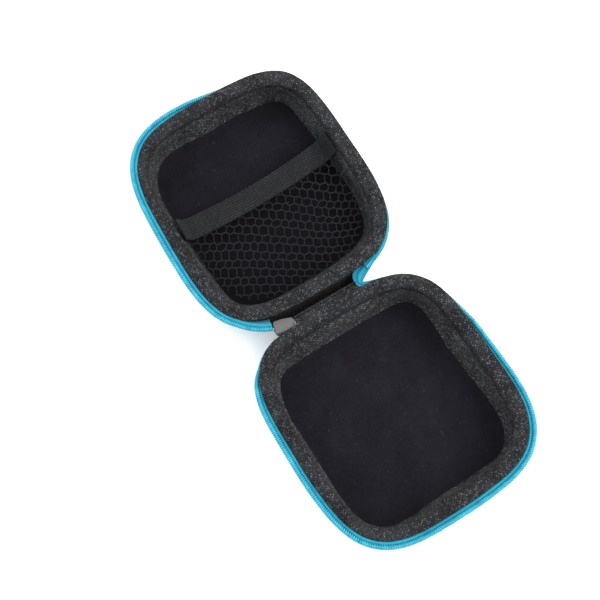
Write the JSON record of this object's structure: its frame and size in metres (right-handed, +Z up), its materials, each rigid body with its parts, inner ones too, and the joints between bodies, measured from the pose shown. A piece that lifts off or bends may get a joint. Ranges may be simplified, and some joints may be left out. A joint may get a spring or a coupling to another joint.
{
  "type": "zip earphone case",
  "caption": "Small square hard-shell zip case for earphones, lying open: two lined cups on a cloth hinge, with a coil zip and a net pocket in the lid.",
  "frame": {"origin": "middle of the base half's flat underside, on the surface the open case lies on", "axes": "+Z up; +Y from the base half over the cloth hinge to the lid half; +X to the right, looking along +Y"},
  "size_m": [0.0782, 0.1685, 0.0292],
  "materials": {
    "cover_cloth": "matte",
    "foam": "matte",
    "lining_fleece": "matte",
    "binding_tape": "matte",
    "thread": "satin",
    "zip_tape": "matte",
    "zip_coil": "satin",
    "elastic": "matte",
    "net": "satin",
    "slider_metal": "satin"
  },
  "bodies": {
    "base": {"base_cover": "cover_cloth", "base_foam_shell": "foam", "base_lining": "lining_fleece", "base_rim_binding": "binding_tape", "base_binding_thread": "thread", "base_zip_tape": "zip_tape", "base_zip_coil": "zip_coil", "hinge_webbing": "binding_tape", "hinge_thread": "thread", "zip_closed_end": "zip_tape"},
    "lid": {"lid_cover": "cover_cloth", "lid_foam_shell": "foam", "lid_lining": "lining_fleece", "lid_rim_binding": "binding_tape", "lid_binding_thread": "thread", "lid_zip_tape": "zip_tape", "lid_zip_coil": "zip_coil", "pocket_net": "net", "pocket_elastic": "elastic", "pocket_thread": "thread"},
    "slider": {"zip_slider": "slider_metal"},
    "pull": {"zip_pull": "slider_metal"}
  },
  "joints": [
    {"name": "lid_hinge", "type": "hinge", "parent": "base", "child": "lid", "pos_m": [0, 0.04225, 0.018], "axis": [1, 0, 0], "range_deg": [-8, 172], "deforming": ["hinge_webbing", "hinge_thread", "zip_closed_end"]},
    {"name": "slider_turn", "type": "hinge", "parent": "base", "child": "slider", "pos_m": [0, 0.04225, 0.018], "axis": [1, 0, 0], "range_deg": [-4, 86]},
    {"name": "pull_swing", "type": "hinge", "parent": "slider", "child": "pull", "pos_m": [-0.01865, 0.04225, 0.0112], "axis": [0, 1, 0], "range_deg": [-10, 80]}
  ],
  "couplings": [
    {"joint": "slider_turn", "follows": "lid_hinge", "ratio": 0.5}
  ]
}
